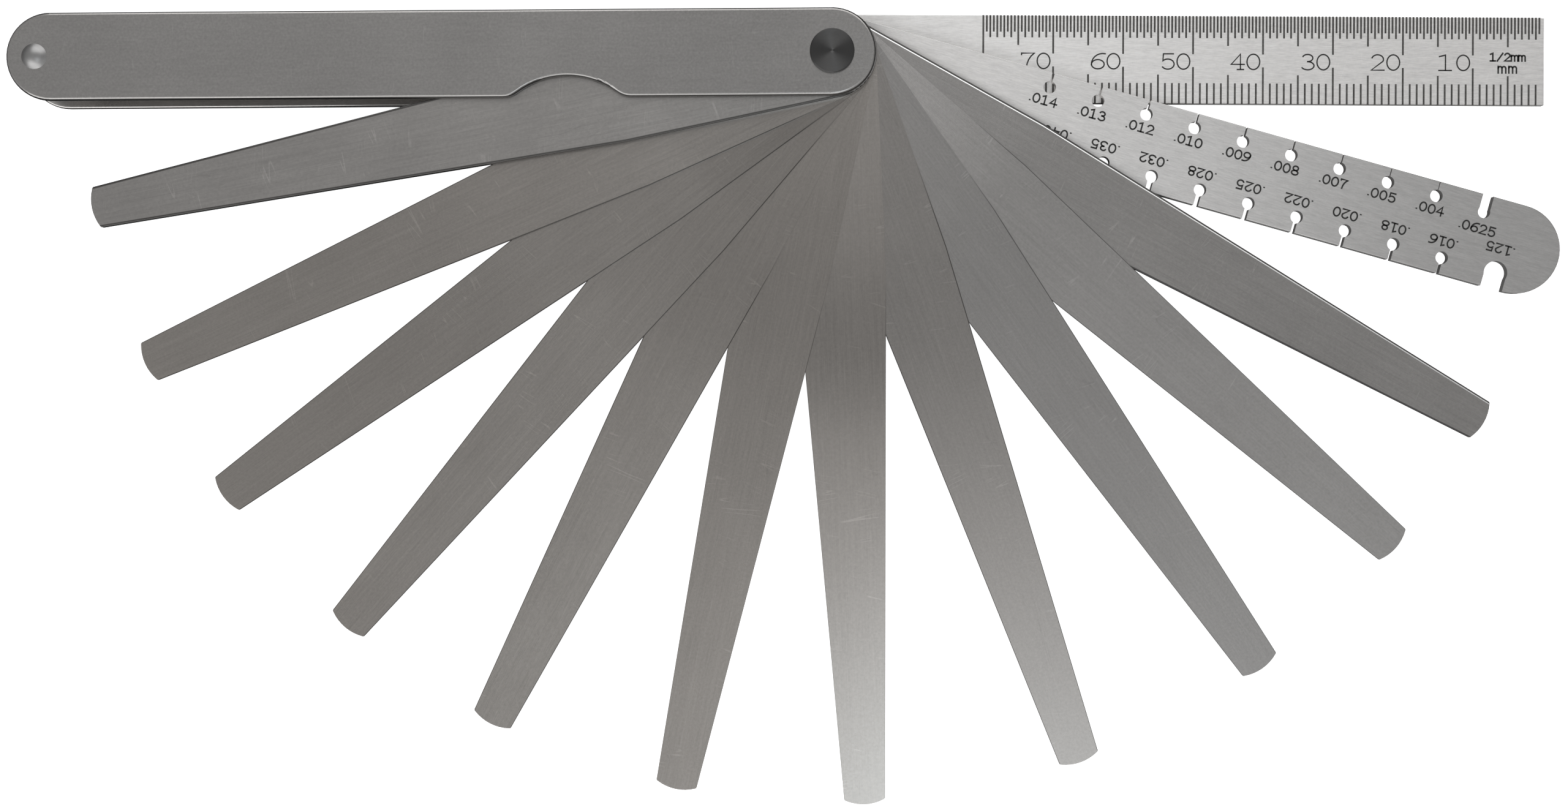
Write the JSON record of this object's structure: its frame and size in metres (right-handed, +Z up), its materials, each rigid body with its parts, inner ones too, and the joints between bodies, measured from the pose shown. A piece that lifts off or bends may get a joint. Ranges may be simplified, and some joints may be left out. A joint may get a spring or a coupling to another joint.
{
  "type": "feeler gauge",
  "caption": "Pocket feeler gauge with tapered leaves, a wire gauge and a millimetre rule that fan out of a flat two-plate case on one pivot.",
  "frame": {"origin": "on the pivot axis, in the flat rear face of the pivot, which the gauge lies on", "axes": "+Z up along the pivot axis, out of the front plate; the case runs from the pivot along -X; the blades fan out towards -Y"},
  "size_m": [0.2192, 0.1125, 0.0088],
  "materials": {
    "case_steel": "fine satin-ground stainless steel, neutral grey, with bright rounded edges",
    "leaf_steel": "smooth rolled and ground spring steel with fine lengthwise grain and light handling scratches",
    "rule_steel": "bright satin steel brushed along its length",
    "pivot_steel": "dark turned steel with fine concentric rings",
    "rivet_steel": "polished steel dome",
    "spacer_steel": "plain turned steel",
    "spring_steel": "tempered spring steel",
    "mark_black": "matt black filled engraving of the scale marks and numerals"
  },
  "bodies": {
    "case": {"front_plate": "case_steel", "back_plate": "case_steel", "pivot_pin": "pivot_steel", "pivot_collar": "pivot_steel", "spring_washer": "spring_steel", "end_rivet": "rivet_steel", "end_spacer": "spacer_steel"},
    "feeler_leaf_01": {"feeler_leaf_01": "leaf_steel"},
    "feeler_leaf_02": {"feeler_leaf_02": "leaf_steel"},
    "feeler_leaf_03": {"feeler_leaf_03": "leaf_steel"},
    "feeler_leaf_04": {"feeler_leaf_04": "leaf_steel"},
    "feeler_leaf_05": {"feeler_leaf_05": "leaf_steel"},
    "feeler_leaf_06": {"feeler_leaf_06": "leaf_steel"},
    "feeler_leaf_07": {"feeler_leaf_07": "leaf_steel"},
    "feeler_leaf_08": {"feeler_leaf_08": "leaf_steel"},
    "feeler_leaf_09": {"feeler_leaf_09": "leaf_steel"},
    "feeler_leaf_10": {"feeler_leaf_10": "leaf_steel"},
    "feeler_leaf_11": {"feeler_leaf_11": "leaf_steel"},
    "wire_gauge": {"wire_gauge": "rule_steel"},
    "rule": {"rule": "rule_steel"}
  },
  "joints": [
    {"name": "feeler_leaf_01_pivot", "type": "hinge", "parent": "case", "child": "feeler_leaf_01", "pos_m": [0, 0, 0.00673], "axis": [0, 0, 1], "range_deg": [-11.5, 168.5]},
    {"name": "feeler_leaf_02_pivot", "type": "hinge", "parent": "case", "child": "feeler_leaf_02", "pos_m": [0, 0, 0.0061], "axis": [0, 0, 1], "range_deg": [-23.9, 156.1]},
    {"name": "feeler_leaf_03_pivot", "type": "hinge", "parent": "case", "child": "feeler_leaf_03", "pos_m": [0, 0, 0.00579], "axis": [0, 0, 1], "range_deg": [-35.62, 144.38]},
    {"name": "feeler_leaf_04_pivot", "type": "hinge", "parent": "case", "child": "feeler_leaf_04", "pos_m": [0, 0, 0.00553], "axis": [0, 0, 1], "range_deg": [-49.25, 130.75]},
    {"name": "feeler_leaf_05_pivot", "type": "hinge", "parent": "case", "child": "feeler_leaf_05", "pos_m": [0, 0, 0.00532], "axis": [0, 0, 1], "range_deg": [-62.55, 117.45]},
    {"name": "feeler_leaf_06_pivot", "type": "hinge", "parent": "case", "child": "feeler_leaf_06", "pos_m": [0, 0, 0.00517], "axis": [0, 0, 1], "range_deg": [-77.59, 102.41]},
    {"name": "feeler_leaf_07_pivot", "type": "hinge", "parent": "case", "child": "feeler_leaf_07", "pos_m": [0, 0, 0.00505], "axis": [0, 0, 1], "range_deg": [-92.15, 87.85]},
    {"name": "feeler_leaf_08_pivot", "type": "hinge", "parent": "case", "child": "feeler_leaf_08", "pos_m": [0, 0, 0.00495], "axis": [0, 0, 1], "range_deg": [-108.99, 71.01]},
    {"name": "feeler_leaf_09_pivot", "type": "hinge", "parent": "case", "child": "feeler_leaf_09", "pos_m": [0, 0, 0.00487], "axis": [0, 0, 1], "range_deg": [-124.7, 55.3]},
    {"name": "feeler_leaf_10_pivot", "type": "hinge", "parent": "case", "child": "feeler_leaf_10", "pos_m": [0, 0, 0.00474], "axis": [0, 0, 1], "range_deg": [-138.52, 41.48]},
    {"name": "feeler_leaf_11_pivot", "type": "hinge", "parent": "case", "child": "feeler_leaf_11", "pos_m": [0, 0, 0.00442], "axis": [0, 0, 1], "range_deg": [-150.29, 29.71]},
    {"name": "wire_gauge_pivot", "type": "hinge", "parent": "case", "child": "wire_gauge", "pos_m": [0, 0, 0.00361], "axis": [0, 0, 1], "range_deg": [-163.9, 16.1]},
    {"name": "rule_pivot", "type": "hinge", "parent": "case", "child": "rule", "pos_m": [0, 0, 0.00253], "axis": [0, 0, 1], "range_deg": [-179.33, 0.67]}
  ]
}
